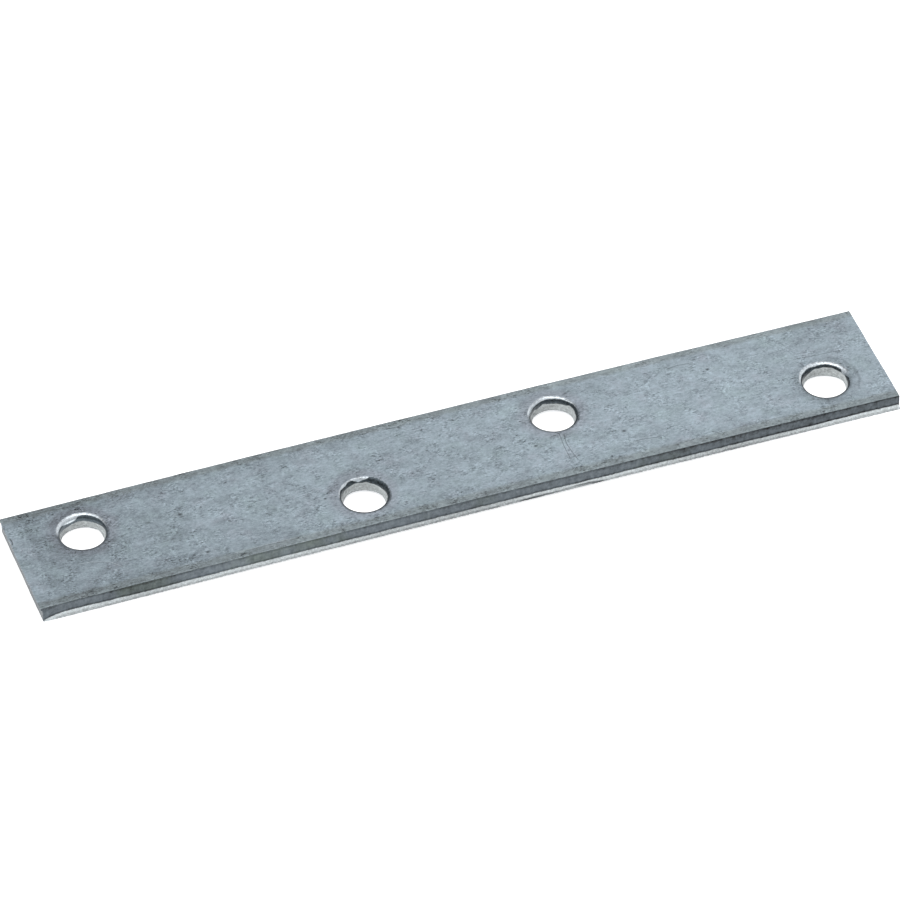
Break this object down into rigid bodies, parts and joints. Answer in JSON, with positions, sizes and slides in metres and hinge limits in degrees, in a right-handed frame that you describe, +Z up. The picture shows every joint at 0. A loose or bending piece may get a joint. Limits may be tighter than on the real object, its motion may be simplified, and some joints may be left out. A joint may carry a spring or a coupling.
{
  "type": "mending plate",
  "caption": "Flat straight mending plate of galvanised steel strip with square sheared ends and plain screw holes that step from side to side along it.",
  "frame": {"origin": "centre of the plate's underside, which lies on the boards it joins", "axes": "+X along the plate's length; +Y across its width; +Z up out of the boards, towards the screw heads"},
  "size_m": [0.1, 0.015, 0.002],
  "materials": {
    "galvanised_steel": "satin zinc-coated rolled steel, faintly mottled, with bare sheared edges"
  },
  "bodies": {
    "root": {"mending_plate": "galvanised_steel"}
  },
  "joints": []
}
